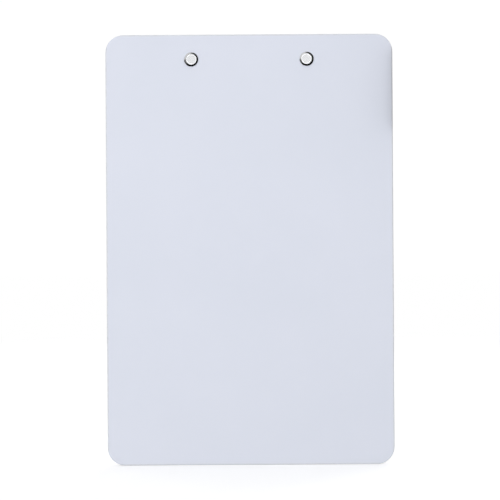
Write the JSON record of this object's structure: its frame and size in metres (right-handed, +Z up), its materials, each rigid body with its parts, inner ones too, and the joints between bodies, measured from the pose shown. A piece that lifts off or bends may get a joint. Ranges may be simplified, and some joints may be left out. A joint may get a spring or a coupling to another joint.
{
  "type": "clipboard",
  "caption": "Memo-size board with a sprung low-profile clip that clamps paper at its top edge, rubber jaw grips and a pull-out hanging tab.",
  "frame": {"origin": "middle of the board's bottom edge, half way through its thickness", "axes": "+Z up the board towards the clip, +X across it, -Y out of the writing face on the clip's side, +Y out of the plain back"},
  "size_m": [0.1524, 0.0141, 0.2286],
  "materials": {
    "board_core": "sealed white fibreboard edge",
    "board_laminate": "cool white semi-gloss laminate",
    "rivet_nickel": "nickel-plated steel",
    "clip_nickel": "nickel-plated sheet steel",
    "tab_nickel": "satin nickel-plated sheet steel",
    "base_zinc": "bright zinc-plated sheet steel",
    "pin_steel": "drawn steel",
    "spring_wire": "oiled spring steel wire",
    "grip_rubber": "matt black rubber"
  },
  "bodies": {
    "board": {"board_core": "board_core", "front_laminate": "board_laminate", "back_laminate": "board_laminate", "left_rivet": "rivet_nickel", "right_rivet": "rivet_nickel", "base_plate": "base_zinc", "hinge_pin": "pin_steel", "left_torsion_spring": "spring_wire", "right_torsion_spring": "spring_wire"},
    "lever": {"lever_plate": "clip_nickel", "left_jaw_grip": "grip_rubber", "right_jaw_grip": "grip_rubber"},
    "tab": {"hanging_tab": "tab_nickel"}
  },
  "joints": [
    {"name": "lever_hinge", "type": "hinge", "parent": "board", "child": "lever", "pos_m": [0, -0.007, 0.206], "axis": [-1, 0, 0], "range_deg": [0, 18], "stiffness_Nm_per_rad": 0.6, "springref_deg": -28.65, "deforming": ["left_torsion_spring", "right_torsion_spring"]},
    {"name": "hanging_tab_slide", "type": "slide", "parent": "board", "child": "tab", "axis": [0, 0, 1], "range_m": [0, 0.016]}
  ]
}
